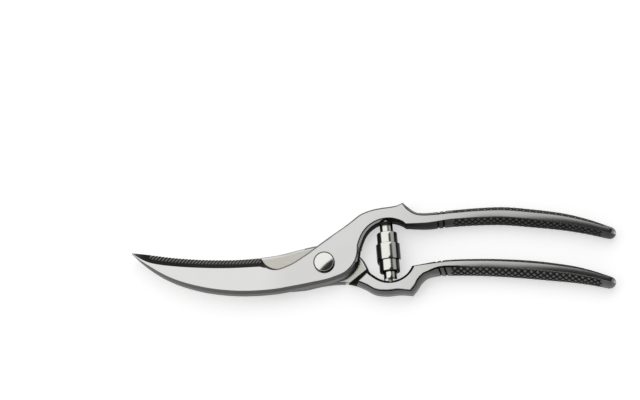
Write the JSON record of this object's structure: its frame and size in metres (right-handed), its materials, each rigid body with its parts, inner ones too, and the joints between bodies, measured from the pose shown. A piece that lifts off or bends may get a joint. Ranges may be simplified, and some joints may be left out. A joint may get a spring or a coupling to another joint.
{
  "type": "poultry shears",
  "caption": "Forged poultry shears with a curved serrated blade, bone notch, lap pivot with domed bolt, volute buffer spring and checkered handles.",
  "frame": {"origin": "on the pivot axis, in the plane of the back that the shears lie on", "axes": "+X from the blades to the handle ends, +Y to the upper handle, +Z out of the front face along the pivot"},
  "size_m": [0.2522, 0.0506, 0.0125],
  "materials": {
    "lever_steel": "polished, plated",
    "bolt_steel": "polished, plated",
    "spring_steel": "bright strip",
    "plain_steel": "turned"
  },
  "bodies": {
    "front_half": {"front_lever": "lever_steel", "pivot_bolt": "bolt_steel", "pivot_nut": "plain_steel", "pivot_washer": "plain_steel", "upper_spring_peg": "plain_steel", "buffer_spring": "spring_steel"},
    "rear_half": {"rear_lever": "lever_steel", "lower_spring_peg": "plain_steel"}
  },
  "joints": [
    {"name": "blade_pivot", "type": "hinge", "parent": "front_half", "child": "rear_half", "pos_m": [0, 0, 0], "axis": [0, 0, -1], "range_deg": [0, 35], "stiffness_Nm_per_rad": 1, "springref_deg": 51.57, "deforming": ["buffer_spring"]}
  ]
}
